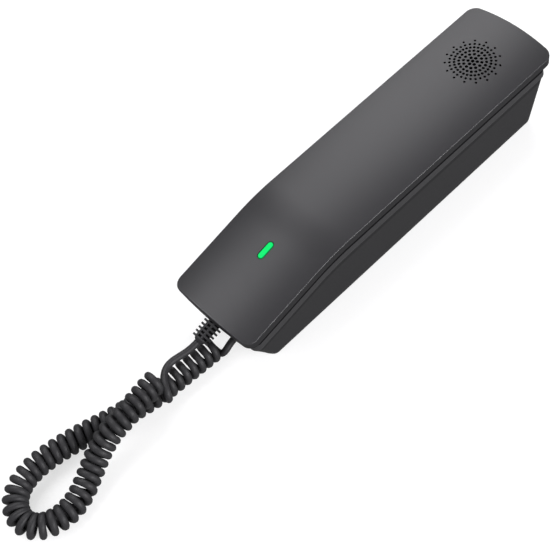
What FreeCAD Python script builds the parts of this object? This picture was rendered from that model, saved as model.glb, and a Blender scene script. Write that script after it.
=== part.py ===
"""Slim corded desk IP phone: a kneed handset lying flush in a tray-shaped base, joined by a curly cord.

Millimetres. +X runs along the phone towards the earpiece end, +Z is up, and the origin lies on the table under
the middle of the phone. Every sub-part is an object of this document whose Label is the name of its file.
"""
import FreeCAD, Part
import math
import os
import re

import Sketcher

Vector = FreeCAD.Vector
doc = FreeCAD.newDocument("desk_ip_phone")

# ------------------------------------------------------------------ driving dimensions
SIZES = {
    # handset, outside
    "handset_length": 213.2,
    "handset_width": 52.0,
    "crease_height": 39.96,      # table to the long upper edges
    "crown_rise": 2.8,           # the outer face bulges this much above its edges
    "knee_from_end": 56.7,       # the face bends down this far from the cord end
    "end_drop": 13.0,            # and has dropped this much at the cord end
    "knee_radius": 100.0,
    "corner_radius": 5.5,
    "end_bow": 0.8,              # both ends bulge this much in plan
    "side_height": 4.5,          # side wall of the outer shell
    "shell_wall": 2.0,
    # handset, inside
    "inner_depth": 11.5,         # how far the inner shell reaches below the outer shell
    "inner_width": 45.2,
    "inner_wall": 1.8,
    "inner_end_gap": 7.8,        # handset's end to the inner shell's end
    "lip_height": 1.5,
    "fit_gap": 0.1,
    # base, outside
    "parting_gap": 0.4,          # dark line between the handset and the base
    "rim_height": 5.0,
    "rim_width": 51.6,
    "base_top_width": 50.6,
    "base_bottom_width": 49.0,
    "foot_stand": 0.8,           # the rubber feet lift the base by this much
    "base_wall": 2.0,
    "rim_end_inset": 4.6,        # handset's cord end to the base's rim
    "cord_end_inset": 13.4,      # handset's cord end to the base's bottom edge
    "ear_end_inset": 5.2,        # handset's ear end to the base's rim
    "ear_bottom_inset": 13.1,
    "base_corner_radius": 4.0,
    # cradle
    "cradle_width": 46.4,
    "floor_clear": 1.5,          # inner shell's face to the cradle's floor
    "cradle_end_gap": 7.2,
    "cover_thickness": 2.0,
    # keypad
    "key_length": 7.0,
    "key_width": 9.6,
    "key_pitch_x": 11.5,
    "key_pitch_y": 13.0,
    "key_first_x": -34.0,
    "function_key_length": 5.0,
    "function_key_width": 7.6,
    "function_key_pitch": 9.9,
    "function_key_x": 12.0,
    "key_proud": 0.8,
    "key_travel": 0.8,
    "key_flange": 0.7,
    "key_flange_height": 0.7,
    "key_gap": 0.25,
    # sound and light
    "grille_x": 75.53,
    "hole_radius": 0.8,          # the middle hole; each ring outwards is a little finer
    "hole_taper": 0.05,
    "ring_pitch": 2.263,
    "lamp_x": -67.6,
    "lamp_length": 9.5,
    "lamp_width": 3.3,
    "lamp_slot_play": 0.9,       # the light pipe leans with the slope, the slot is upright
    "speaker_radius": 16.0,
    "receiver_radius": 13.0,
    "receiver_x": 78.0,
    "microphone_x": -90.0,
    "microphone_radius": 3.0,
    # boards
    "board_thickness": 1.6,
    "board_height": 4.2,         # table to the underside of the main board
    # sockets
    "network_y": 8.5,
    "power_y": -11.0,
    "cord_jack_y": -6.0,
    "cord_jack_z": 7.0,
    # hook switch
    "hook_x": 64.0,
    "hook_radius": 3.0,
    "hook_travel": 3.0,
    # fixings
    "keyhole_spacing": 83.0,
    "keyhole_radius": 4.25,
    "keyhole_slot": 4.2,
    "foot_radius": 5.0,
    "screw_radius": 1.2,
    "screw_head_radius": 2.4,
    # cord
    "wire_diameter": 3.5,
    "coil_diameter": 12.0,
}
sheet = doc.addObject("Spreadsheet::Sheet", "Sizes")
for row, (name, number) in enumerate(SIZES.items(), start=1):
    sheet.set(f"A{row}", name)
    sheet.set(f"B{row}", str(number))
    sheet.setAlias(f"B{row}", name)
doc.recompute()


WORD = re.compile(r"(?<![\w.])[a-z]\w*")


def s(text):
    """An expression in which each size's name stands for its cell."""
    return WORD.sub(lambda found: ("Sizes." if found.group() in SIZES else "") + found.group(), text)


def value(text):
    """The number that an expression comes to."""
    return float(sheet.evalExpression(s(text)))


# ------------------------------------------------------------------ expressions used by many pieces
EAR_END = "handset_length / 2"
CORD_END = "-handset_length / 2"
KNEE_X = f"({CORD_END} + knee_from_end)"
SLOPE = "atan(end_drop / knee_from_end)"
SHELL_RIM = "(crease_height - side_height)"                  # lower edge of the outer shell, past the knee
INNER_FACE = f"({SHELL_RIM} - inner_depth)"                  # the face with the keys, past the knee
BASE_RIM = f"({SHELL_RIM} - parting_gap)"
CRADLE_FLOOR = f"({INNER_FACE} - floor_clear)"
CRADLE_UNDERSIDE = f"({CRADLE_FLOOR} - base_wall)"
BOARD_TOP = "(board_height + board_thickness)"
COVER_TOP = "(foot_stand + cover_thickness)"


def on_slope(depth, x):
    """Height, at x, of a line parallel to the lower slope and depth below the crease."""
    return f"(crease_height - ({depth}) / cos({SLOPE}) - ({KNEE_X} - ({x})) * end_drop / knee_from_end)"


# ------------------------------------------------------------------ sketching and features
def new_body(label):
    body = doc.addObject("PartDesign::Body", label)
    body.Label = label
    return body


def new_sketch(body, role, offset="0", shift=("0", "0")):
    """A sketch on one of the body's own origin planes, moved along the plane's normal and within the plane."""
    sketch = body.newObject("Sketcher::SketchObject", "Sketch")
    plane = [f for f in body.Origin.OriginFeatures if f.Role == role][0]
    sketch.AttachmentSupport = (plane, [""])
    sketch.MapMode = "FlatFace"
    for axis, text in zip("xyz", (shift[0], shift[1], offset)):
        if text != "0":
            sketch.setExpression(f"AttachmentOffset.Base.{axis}", s(text))
    return sketch


def outline(sketch, points, arcs=None, closed=True):
    """Straight edges from point to point, each end held by expressions. arcs gives an edge a radius instead:
    positive when it bends to the left of its direction, negative when to the right."""
    arcs = arcs or {}
    numbers = [(value(x), value(y)) for x, y in points]
    count = len(points)
    first = sketch.GeometryCount
    ends = []
    for i in range(count if closed else count - 1):
        start, stop = numbers[i], numbers[(i + 1) % count]
        if i not in arcs:
            index = sketch.addGeometry(Part.LineSegment(Vector(*start, 0), Vector(*stop, 0)), False)
            ends.append((index, 1, 2))
            continue
        turn, radius = arcs[i]
        size = value(radius)
        middle = ((start[0] + stop[0]) / 2, (start[1] + stop[1]) / 2)
        along = (stop[0] - start[0], stop[1] - start[1])
        chord = math.hypot(*along)
        away = turn * math.sqrt(size**2 - chord**2 / 4) / chord
        centre = (middle[0] - along[1] * away, middle[1] + along[0] * away)
        if turn < 0:
            start, stop = stop, start
        a0 = math.atan2(start[1] - centre[1], start[0] - centre[0])
        a1 = math.atan2(stop[1] - centre[1], stop[0] - centre[0])
        if a1 <= a0:
            a1 += 2 * math.pi
        circle = Part.Circle(Vector(*centre, 0), Vector(0, 0, 1), size)
        index = sketch.addGeometry(Part.ArcOfCircle(circle, a0, a1), False)
        ends.append((index, 1, 2) if turn > 0 else (index, 2, 1))
        hold(sketch, Sketcher.Constraint("Radius", index, size), f"Radius{index}", radius)
    for (index, _, last), (after, begin, _) in zip(ends, ends[1:] + (ends[:1] if closed else [])):
        sketch.addConstraint(Sketcher.Constraint("Coincident", index, last, after, begin))
    marks = [(e[0], e[1]) for e in ends] + ([] if closed else [(ends[-1][0], ends[-1][2])])
    for (index, position), (x, y), (nx, ny) in zip(marks, points, numbers):
        hold(sketch, Sketcher.Constraint("DistanceX", -1, 1, index, position, nx), f"X{first}_{index}_{position}", x)
        hold(sketch, Sketcher.Constraint("DistanceY", -1, 1, index, position, ny), f"Y{first}_{index}_{position}", y)
    return sketch


def hold(sketch, constraint, name, text):
    """Adds a named constraint and binds it to the sheet."""
    index = sketch.addConstraint(constraint)
    sketch.renameConstraint(index, name)
    if s(text) != text:
        sketch.setExpression(f"Constraints.{name}", s(text))


def rectangle(sketch, x, y, width, height):
    """A rectangle about (x, y)."""
    left, right = f"({x}) - ({width}) / 2", f"({x}) + ({width}) / 2"
    low, high = f"({y}) - ({height}) / 2", f"({y}) + ({height}) / 2"
    return outline(sketch, [(left, low), (right, low), (right, high), (left, high)])


def circle(sketch, x, y, radius):
    index = sketch.addGeometry(Part.Circle(Vector(value(x), value(y), 0), Vector(0, 0, 1), value(radius)), False)
    hold(sketch, Sketcher.Constraint("Radius", index, value(radius)), f"Radius{index}", radius)
    hold(sketch, Sketcher.Constraint("DistanceX", -1, 1, index, 3, value(x)), f"CX{index}", x)
    hold(sketch, Sketcher.Constraint("DistanceY", -1, 1, index, 3, value(y)), f"CY{index}", y)
    return sketch


def feature(body, kind, sketch, **settings):
    made = body.newObject(f"PartDesign::{kind}", kind)
    made.Profile = sketch
    for name, setting in settings.items():
        if isinstance(setting, str) and name in ("Length", "Angle"):
            made.setExpression(name, s(setting))
        else:
            setattr(made, name, setting)
    body.Tip = made
    return made


def pad(body, sketch, length, **settings):
    return feature(body, "Pad", sketch, Length=length, **settings)


def cut(body, sketch, length=None, **settings):
    """A pocket: as deep as length, or right through both ways."""
    if length is None:
        return feature(body, "Pocket", sketch, Type="ThroughAll", Midplane=True, **settings)
    return feature(body, "Pocket", sketch, Length=length, **settings)


def keep_inside(body, role, points, arcs=None):
    """Cuts away all that lies outside an outline, seen square to one of the origin planes."""
    sketch = new_sketch(body, role)
    rectangle(sketch, "0", "0", "handset_length * 3", "handset_length * 3")
    outline(sketch, points, arcs)
    return cut(body, sketch)


def kneed_path(body, start, stop):
    """The crease's line, from start past the knee down the slope to stop."""
    tangent = f"knee_radius * tan({SLOPE} / 2)"
    sketch = new_sketch(body, "XZ_Plane")
    return outline(
        sketch,
        [
            (start, "crease_height"),
            (f"{KNEE_X} + {tangent}", "crease_height"),
            (f"{KNEE_X} - {tangent} * cos({SLOPE})", f"crease_height - {tangent} * sin({SLOPE})"),
            (stop, on_slope("0", stop)),
        ],
        {1: (1, "knee_radius")},
        closed=False,
    )


def kneed(body, kind, points, start, stop, arcs=None):
    """A pipe of a cross-section (Y, Z) that follows the knee from start to stop."""
    section = outline(new_sketch(body, "YZ_Plane", offset=start), points, arcs)
    path = kneed_path(body, start, stop)
    made = body.newObject(f"PartDesign::{kind}", kind)
    made.Profile = section
    made.Spine = (path, [f"Edge{i + 1}" for i in range(3)])
    made.Transition = "Right corner"
    body.Tip = made
    return made


def channel(width, low, high):
    """Corners (Y, Z) of a plain cross-section."""
    return [
        (f"-({width}) / 2", low),
        (f"({width}) / 2", low),
        (f"({width}) / 2", high),
        (f"-({width}) / 2", high),
    ]


def rounded(body, radius, choose):
    """Rounds the edges of the body's tip that choose says yes to."""
    doc.recompute()
    base = body.Tip
    names = [f"Edge{i + 1}" for i, edge in enumerate(base.Shape.Edges) if choose(edge)]
    made = body.newObject("PartDesign::Fillet", "Fillet")
    made.Base = (base, names)
    made.setExpression("Radius", s(radius))
    body.Tip = made
    return made


def upright(edge):
    """True for an edge that runs nearly along Z."""
    first, last = edge.Vertexes[0].Point, edge.Vertexes[-1].Point
    run = last - first
    return run.Length > 0.01 and abs(run.z) > 0.7 * run.Length


def ring_of(body, made, sketch, count):
    """Repeats a feature round its sketch's normal."""
    doc.recompute()
    pattern = body.newObject("PartDesign::PolarPattern", "Ring")
    pattern.Originals = [made]
    pattern.Axis = (sketch, ["N_Axis"])
    pattern.Angle = 360
    pattern.Occurrences = count
    body.Tip = pattern
    return pattern


def solid(kind, x, y, z, **sizes):
    """A Part primitive with its corner or centre at (x, y, z)."""
    made = doc.addObject(f"Part::{kind}", kind)
    for name, text in sizes.items():
        made.setExpression(name, s(text))
    for axis, text in zip("xyz", (x, y, z)):
        made.setExpression(f"Placement.Base.{axis}", s(text))
    return made


def block(x, y, z, length, width, height):
    """A box from x on, about y, from z up."""
    return solid("Box", x, f"({y}) - ({width}) / 2", z, Length=length, Width=width, Height=height)


def disc(x, y, z, radius, height):
    return solid("Cylinder", x, y, z, Radius=radius, Height=height)


def joined(label, *pieces):
    made = doc.addObject("Part::MultiFuse", label)
    made.Shapes = list(pieces)
    made.Label = label
    return made


def less(label, base, *tools):
    tool = tools[0] if len(tools) == 1 else joined(f"{label}_tools", *tools)
    made = doc.addObject("Part::Cut", label)
    made.Base = base
    made.Tool = tool
    made.Label = label
    return made


def group(label, *pieces):
    made = doc.addObject("Part::Compound", label)
    made.Links = list(pieces)
    made.Label = label
    return made


def named(made, label):
    made.Label = label
    return made


PARTS = []


def keep(made):
    PARTS.append(made)
    return made


# ------------------------------------------------------------------ places shared by mating pieces
HANDSET_BOSSES = [("44", "16.5"), ("44", "-16.5"), ("-54", "16.5"), ("-54", "-16.5")]
BASE_BOSSES = [("81", "19"), ("81", "-19"), ("-38", "19"), ("-38", "-19")]
GRILLE_RINGS = [6, 12, 20, 30, 30, 15]
KEY_NAMES = [["1", "2", "3"], ["4", "5", "6"], ["7", "8", "9"], ["star", "0", "hash"]]
FUNCTION_KEYS = ["volume_up", "volume_down", "hold", "redial"]


def key_places():
    """(name, x, y, length, width) of every key, as expressions. Row 1 lies nearest the earpiece."""
    places = []
    for row, names in enumerate(KEY_NAMES):
        for column, name in enumerate(names):
            x = f"key_first_x + key_pitch_x * {len(KEY_NAMES) - 1 - row}"
            y = f"key_pitch_y * ({column - 1})"
            places.append((name, x, y, "key_length", "key_width"))
    for column, name in enumerate(FUNCTION_KEYS):
        y = f"function_key_pitch * ({column - 1.5})"
        places.append((name, "function_key_x", y, "function_key_length", "function_key_width"))
    return places


def shell_plan(inset="0"):
    """Outline seen from above: straight sides, rounded corners and slightly bowed ends."""
    x, y = f"(handset_length / 2 - ({inset}) - end_bow)", f"(handset_width / 2 - ({inset}))"
    r = f"(corner_radius - ({inset}) / 2)"
    half = f"({y} - {r})"
    bow = f"(({half})^2 + end_bow^2) / (2 * end_bow)"
    points = [
        (f"-{x} + {r}", f"-{y}"), (f"{x} - {r}", f"-{y}"), (x, f"-{half}"), (x, half),
        (f"{x} - {r}", y), (f"-{x} + {r}", y), (f"-{x}", half), (f"-{x}", f"-{half}"),
    ]
    return points, {1: (1, r), 2: (1, bow), 3: (1, r), 5: (1, r), 6: (1, bow), 7: (1, r)}


# ------------------------------------------------------------------ handset
def make_outer_shell():
    """Crowned outer half of the handset with the sound grille and the lamp's slot."""
    body = new_body("handset_outer_shell")
    beyond, before = f"{EAR_END} + 4", f"{CORD_END} - 6"
    half = "(handset_width / 2)"
    bulge = f"(({half}^2 + crown_rise^2) / (2 * crown_rise))"
    section = [(f"-{half}", SHELL_RIM), (half, SHELL_RIM), (half, "crease_height"), (f"-{half}", "crease_height")]
    kneed(body, "AdditivePipe", section, beyond, before, {2: (1, bulge)})
    keep_inside(body, "XY_Plane", *shell_plan())
    hollow = f"({half} - shell_wall)"
    roof = "crease_height + 0.4 - shell_wall"
    inside = [(f"-{hollow}", "0"), (hollow, "0"), (hollow, roof), (f"-{hollow}", roof)]
    inner_bulge = f"({bulge} - shell_wall)"
    kneed(
        body, "SubtractivePipe", inside, f"{EAR_END} - shell_wall - end_bow", f"{CORD_END} + shell_wall + end_bow",
        {2: (1, inner_bulge)},
    )
    for x, y in HANDSET_BOSSES:
        top = "crease_height - shell_wall + 1.5" if x[0] != "-" else f"{on_slope('0', x)} - shell_wall + 2"
        foot = f"{INNER_FACE} + inner_wall + 3" if x[0] != "-" else f"{on_slope('side_height + inner_depth', x)} + 5"
        pad(body, circle(new_sketch(body, "XY_Plane", offset=foot), x, y, "3"), f"({top}) - ({foot})")
        cut(body, circle(new_sketch(body, "XY_Plane", offset=foot), x, y, "0.95"), "7", Reversed=True)
    grille = ("grille_x", "0")
    drill = "crease_height - side_height"
    cut(body, circle(new_sketch(body, "XY_Plane", drill, grille), "0", "0", "hole_radius"), "20", Reversed=True)
    for ring, count in enumerate(GRILLE_RINGS, start=1):
        sketch = new_sketch(body, "XY_Plane", drill, grille)
        turn = 12 if ring == len(GRILLE_RINGS) else 0
        x, y = (f"ring_pitch * {ring} * {f(math.radians(turn)):.6f}" for f in (math.cos, math.sin))
        made = cut(body, circle(sketch, x, y, f"hole_radius - hole_taper * {ring}"), "20", Reversed=True)
        ring_of(body, made, sketch, count)
    ends = "(lamp_length / 2 - lamp_width / 2 + lamp_slot_play)"
    slot = new_sketch(body, "XY_Plane", "10", ("lamp_x", "0"))
    outline(
        slot,
        [(f"-{ends}", "-lamp_width / 2"), (ends, "-lamp_width / 2"), (ends, "lamp_width / 2"),
         (f"-{ends}", "lamp_width / 2")],
        {1: (1, "lamp_width / 2 + 0.0001"), 3: (1, "lamp_width / 2 + 0.0001")},
    )
    cut(body, slot, "60", Reversed=True)
    return keep(body)


def make_inner_shell():
    """Tray that closes the handset and carries the keys, the earpiece and the microphone."""
    body = new_body("handset_inner_shell")
    top = f"{SHELL_RIM} + lip_height"
    kneed(
        body, "AdditivePipe", channel("inner_width", INNER_FACE, top), f"{EAR_END} - inner_end_gap",
        f"{CORD_END} + inner_end_gap",
    )
    lip = "handset_width - 2 * shell_wall - 2 * fit_gap"
    kneed(
        body, "AdditivePipe", channel(lip, SHELL_RIM, top), f"{EAR_END} - shell_wall - end_bow - fit_gap",
        f"{CORD_END} + shell_wall + end_bow + fit_gap",
    )
    rounded(body, "1.5", lambda e: runs_along(e) and is_low(e))
    kneed(
        body, "SubtractivePipe", channel("inner_width - 2 * inner_wall", f"{INNER_FACE} + inner_wall", f"{top} + 5"),
        f"{EAR_END} - inner_end_gap - inner_wall", f"{CORD_END} + inner_end_gap + inner_wall",
    )
    openings = new_sketch(body, "XY_Plane", INNER_FACE)
    for _, x, y, length, width in key_places():
        rectangle(openings, x, y, f"{length} + 2 * key_gap", f"{width} + 2 * key_gap")
    cut(body, openings, "6", Midplane=True)
    sound = new_sketch(body, "XY_Plane", INNER_FACE)
    circle(sound, "receiver_x", "0", "0.9")
    for i in range(8):
        turn = 2 * math.pi * i / 8
        circle(sound, f"receiver_x + 4.5 * {math.cos(turn):.6f}", f"4.5 * {math.sin(turn):.6f}", "0.9")
    cut(body, sound, "6", Midplane=True)
    mouth = on_slope("side_height + inner_depth", "microphone_x")
    cut(body, circle(new_sketch(body, "XY_Plane", mouth), "microphone_x", "0", "0.8"), "8", Midplane=True)
    for x, y in HANDSET_BOSSES:
        face = INNER_FACE if x[0] != "-" else on_slope("side_height + inner_depth", x)
        cut(body, circle(new_sketch(body, "XY_Plane", face), x, y, "screw_radius + 0.2"), "12", Midplane=True)
        cut(body, circle(new_sketch(body, "XY_Plane", f"{face} + 0.8"), x, y, "screw_head_radius + 0.3"), "4")
    neck = new_sketch(body, "YZ_Plane", f"{CORD_END} + inner_end_gap")
    circle(neck, "0", EXIT_Z, "3.1")
    cut(body, neck, "12", Midplane=True)
    return keep(body)


def runs_along(edge):
    first, last = edge.Vertexes[0].Point, edge.Vertexes[-1].Point
    return abs(last.x - first.x) > 20


def is_low(edge):
    """True below the outer shell's rim line, on either side of the knee."""
    middle = edge.valueAt((edge.FirstParameter + edge.LastParameter) / 2)
    drop = max(0, value(KNEE_X) - middle.x) * value("end_drop / knee_from_end")
    return middle.z < value(SHELL_RIM) - drop - 3


EXIT_Z = f"({on_slope('side_height', CORD_END)} - 3.4)"


def make_handset_insides():
    """Boards, sound and light parts, weight and screws of the handset."""
    floor = f"{INNER_FACE} + inner_wall"
    membrane_z = f"{floor} + fit_gap + key_flange_height + key_travel + 0.1"
    keep(named(block("key_first_x - 8", "0", membrane_z, "62", "39.6", "0.8"), "keypad_membrane"))
    board_z = f"{membrane_z} + 0.9"
    keep(less("handset_board", block("key_first_x - 8", "0", board_z, "68", "36", "board_thickness"),
              disc("34", "0", f"{board_z} - 1", "1.2", "4")))
    keep(named(block("key_first_x + 12", "0", f"{board_z} + board_thickness", "9", "9", "1.2"), "audio_chip"))
    keep(named(block("0", "8", f"{board_z} + board_thickness", "7", "12", "3.6"), "board_connector"))

    # ring speaker under the grille: magnet, basket and cone
    speaker_z = "crease_height - 5.6"
    keep(named(disc("grille_x", "0", f"{speaker_z} - 2.6", "7.5", "2.5"), "speaker_magnet"))
    keep(less("speaker_frame", disc("grille_x", "0", speaker_z, "speaker_radius", "3.6"),
              disc("grille_x", "0", f"{speaker_z} + 0.8", "speaker_radius - 1.2", "5")))
    cone = solid("Cone", "grille_x", "0", f"{speaker_z} + 0.9", Radius1="6", Radius2="speaker_radius - 1.4",
                 Height="2.4")
    under = solid("Cone", "grille_x", "0", f"{speaker_z} + 1.3", Radius1="5.6", Radius2="speaker_radius - 1.6",
                  Height="2.4")
    keep(less("speaker_cone", cone, under))
    keep(named(disc("grille_x", "0", f"{speaker_z} + 3.7", "speaker_radius", "0.4"), "grille_cloth"))

    # earpiece capsule pressed on a foam ring round the sound holes
    keep(less("earpiece_gasket", disc("receiver_x", "0", f"{floor} + 0.05", "10.5", "1.4"),
              disc("receiver_x", "0", floor, "7.5", "2")))
    keep(joined("earpiece_capsule", disc("receiver_x", "0", f"{floor} + 1.5", "receiver_radius", "2.6"),
                disc("receiver_x", "0", f"{floor} + 4.1", "7", "1.6")))

    # microphone capsule in its rubber boot, square to the slope
    depth = "side_height + inner_depth - inner_wall"
    boot = less("microphone_boot", disc("0", "0", "0.45", "microphone_radius + 1.2", "3.6"),
                disc("0", "0", "1.05", "microphone_radius", "4"))
    capsule = group("microphone_capsule", disc("0", "0", "1.1", "microphone_radius - 0.05", "2.6"))
    for piece in (boot, capsule):
        keep(tilt(piece, "microphone_x", on_slope(depth, "microphone_x")))

    # lamp board and light pipe under the slot
    lens = new_body("indicator_lens")
    ends = "(lamp_length / 2 - lamp_width / 2)"
    width = "(lamp_width / 2 - 0.05)"
    sketch = new_sketch(lens, "XY_Plane")
    outline(sketch, [(f"-{ends}", f"-{width}"), (ends, f"-{width}"), (ends, width), (f"-{ends}", width)],
            {1: (1, f"{width} + 0.0001"), 3: (1, f"{width} + 0.0001")})
    pad(lens, sketch, "4.9")
    pad(lens, rectangle(new_sketch(lens, "XY_Plane"), "0", "0", "lamp_length + 2", "lamp_width + 2"), "1",
        Reversed=True)
    keep(tilt(lens, "lamp_x", on_slope("2.15", "lamp_x")))
    board = group("indicator_board", block("-8", "0", "0", "16", "12", "1"))
    lamp = group("indicator_led", block("-2", "0", "1.02", "4", "2.4", "1.8"))
    for piece in (board, lamp):
        keep(tilt(piece, "lamp_x", on_slope("6.4", "lamp_x")))

    keep(named(block("50", "0", f"{floor} + 0.1", "9", "34", "8"), "handset_weight"))
    screws = []
    for x, y in HANDSET_BOSSES:
        face = INNER_FACE if x[0] != "-" else on_slope("side_height + inner_depth", x)
        screws.append(joined(f"handset_screw_{len(screws)}", disc(x, y, f"{face} - 0.9 + 0.75", "screw_head_radius", "0.9"),
                             disc(x, y, f"{face} + 0.7", "0.9", "8")))
    keep(group("handset_screws", *screws))


def tilt(piece, x, z):
    """Lays a piece made about the origin square to the lower slope, with its origin at (x, 0, z)."""
    angle = math.atan(value("end_drop / knee_from_end"))
    turn = FreeCAD.Rotation(Vector(0, 1, 0), -math.degrees(angle))
    piece.Placement = FreeCAD.Placement(Vector(value(x), 0, value(z)), turn)
    return piece


def make_keys():
    """Twelve dial keys and four function keys, each a cap with a flange that stops it falling out."""
    for name, x, y, length, width in key_places():
        body = new_body(f"key_{name}")
        bottom = f"{INNER_FACE} - key_proud"
        flange = f"{INNER_FACE} + inner_wall + fit_gap"
        cap = rectangle(new_sketch(body, "XY_Plane", bottom), x, y, length, width)
        pad(body, cap, f"{flange} - ({bottom})")
        rounded(body, "0.8", upright)
        brim = new_sketch(body, "XY_Plane", flange)
        rectangle(brim, x, y, f"{length} + 2 * key_flange", f"{width} + 2 * key_flange")
        pad(body, brim, "key_flange_height")
        keep(body)


# ------------------------------------------------------------------ base
def make_top_cover():
    """Upper half of the base: outer walls with a raised rim, and the cradle trough that the handset lies in."""
    body = new_body("base_top_cover")
    beyond, before = f"{EAR_END} + 4", f"{CORD_END} - 6"
    band_low = f"({BASE_RIM} - rim_height)"
    kneed(body, "AdditivePipe", channel("base_top_width", "-20", BASE_RIM), beyond, before)
    taper = new_sketch(body, "YZ_Plane")
    for side in ("", "-"):
        outline(taper, [(f"{side}(base_top_width / 2)", "crease_height"), (f"{side}(base_bottom_width / 2)", "foot_stand"),
                        (f"{side}(base_bottom_width / 2)", "-25"), (f"{side}(base_top_width / 2 + 5)", "-25"),
                        (f"{side}(base_top_width / 2 + 5)", "crease_height")])
    cut(body, taper)
    rim_x0, rim_x1 = f"({CORD_END} + rim_end_inset)", f"({EAR_END} - ear_end_inset)"
    foot_x0, foot_x1 = f"({CORD_END} + cord_end_inset)", f"({EAR_END} - ear_bottom_inset)"
    wall_x0, wall_x1 = f"({rim_x0} + 0.4)", f"({rim_x1} - 0.4)"
    keep_inside(
        body, "XZ_Plane",
        [(foot_x0, "foot_stand"), (foot_x1, "foot_stand"), (wall_x1, f"{BASE_RIM} - rim_height"), (wall_x1, "70"),
         (wall_x0, "70"), (wall_x0, on_slope("side_height + rim_height", wall_x0))],
    )
    rounded(body, "base_corner_radius", lambda e: upright(e) and abs(e.CenterOfMass.x) > 88)
    kneed(body, "AdditivePipe", channel("rim_width", band_low, BASE_RIM), rim_x1, f"{rim_x0} - 2")
    r = "corner_radius"
    keep_inside(
        body, "XY_Plane",
        [(f"{rim_x0} + {r}", "-rim_width / 2"), (f"{rim_x1} - {r}", "-rim_width / 2"),
         (rim_x1, f"-rim_width / 2 + {r}"), (rim_x1, f"rim_width / 2 - {r}"), (f"{rim_x1} - {r}", "rim_width / 2"),
         (f"{rim_x0} + {r}", "rim_width / 2"), (rim_x0, f"rim_width / 2 - {r}"), (rim_x0, f"-rim_width / 2 + {r}")],
        {1: (1, r), 3: (1, r), 5: (1, r), 7: (1, r)},
    )
    kneed(
        body, "SubtractivePipe", channel("cradle_width", CRADLE_FLOOR, "70"), f"{EAR_END} - cradle_end_gap",
        f"{CORD_END} + cradle_end_gap",
    )
    inner_x0 = f"({foot_x0} + base_wall * 1.3)"
    inner_x1 = f"({foot_x1} - base_wall * 1.2)"
    depth = f"crease_height - {CRADLE_UNDERSIDE}"
    far_x0 = f"({rim_x0} + base_wall * 3)"
    cavity = new_sketch(body, "XZ_Plane")
    outline(cavity, [
        (inner_x0, "-1"), (inner_x1, "-1"), (f"{inner_x1} + 4", CRADLE_UNDERSIDE),
        (f"{KNEE_X} + ({depth}) * tan({SLOPE} / 2)", CRADLE_UNDERSIDE),
        (far_x0, on_slope(depth, far_x0)),
    ])
    cut(body, cavity, "cradle_width - 2", Midplane=True)
    for x, y in BASE_BOSSES:
        boss = circle(new_sketch(body, "XY_Plane", f"{COVER_TOP} + 0.1"), x, y, "2.9")
        pad(body, boss, f"{CRADLE_UNDERSIDE} - {COVER_TOP} + 0.6")
    for x, y in BASE_BOSSES:
        cut(body, circle(new_sketch(body, "XY_Plane", COVER_TOP), x, y, "0.95"), "8", Reversed=True)
    # openings: network and power sockets at the ear end, cord socket and handset neck at the cord end
    end = new_sketch(body, "YZ_Plane", foot_x1)
    rectangle(end, "network_y", f"{BOARD_TOP} + 6.9", "16.6", "14.2")
    rectangle(end, "power_y", f"{BOARD_TOP} + 5.6", "9.6", "11.6")
    cut(body, end, "60", Midplane=True)
    near = new_sketch(body, "YZ_Plane", foot_x0)
    rectangle(near, "cord_jack_y", "cord_jack_z", "11.4", "8.6")
    cut(body, near, "26", Midplane=True)
    notch = new_sketch(body, "YZ_Plane", rim_x0)
    rectangle(notch, "0", f"{EXIT_Z} + 15", "10.4", "40")
    cut(body, notch, "14", Midplane=True)
    cut(body, circle(new_sketch(body, "XY_Plane", CRADLE_FLOOR), "hook_x", "0", "hook_radius + 0.3"), "8", Midplane=True)
    return keep(body)


def make_bottom_cover():
    """Flat plate that closes the base, with two keyholes for a wall plate and seats for the feet."""
    body = new_body("base_bottom_cover")
    length = "handset_length - cord_end_inset - ear_bottom_inset - base_wall * 2.5 - 0.6"
    middle = "(cord_end_inset - ear_bottom_inset) / 2 + base_wall * 0.05"
    plate = rectangle(new_sketch(body, "XY_Plane", "foot_stand"), middle, "0", length, "cradle_width - 2.4")
    pad(body, plate, "cover_thickness")
    rounded(body, "3", upright)
    holes = new_sketch(body, "XY_Plane", "foot_stand")
    for side in ("-", ""):
        x = f"({side}keyhole_spacing / 2)"
        circle(holes, x, "0", "keyhole_radius")
    cut(body, holes, "cover_thickness * 3", Midplane=True)
    slots = new_sketch(body, "XY_Plane", "foot_stand")
    for side in ("-", ""):
        rectangle(slots, f"{side}keyhole_spacing / 2 + 5.5", "0", "7", "keyhole_slot")
    cut(body, slots, "cover_thickness * 3", Midplane=True)
    for x, y in BASE_BOSSES:
        cut(body, circle(new_sketch(body, "XY_Plane", "foot_stand"), x, y, "screw_radius + 0.2"),
            "cover_thickness * 3", Midplane=True)
        cut(body, circle(new_sketch(body, "XY_Plane", "foot_stand"), x, y, "screw_head_radius + 0.3"), "1",
            Reversed=True)
    return keep(body)


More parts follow.
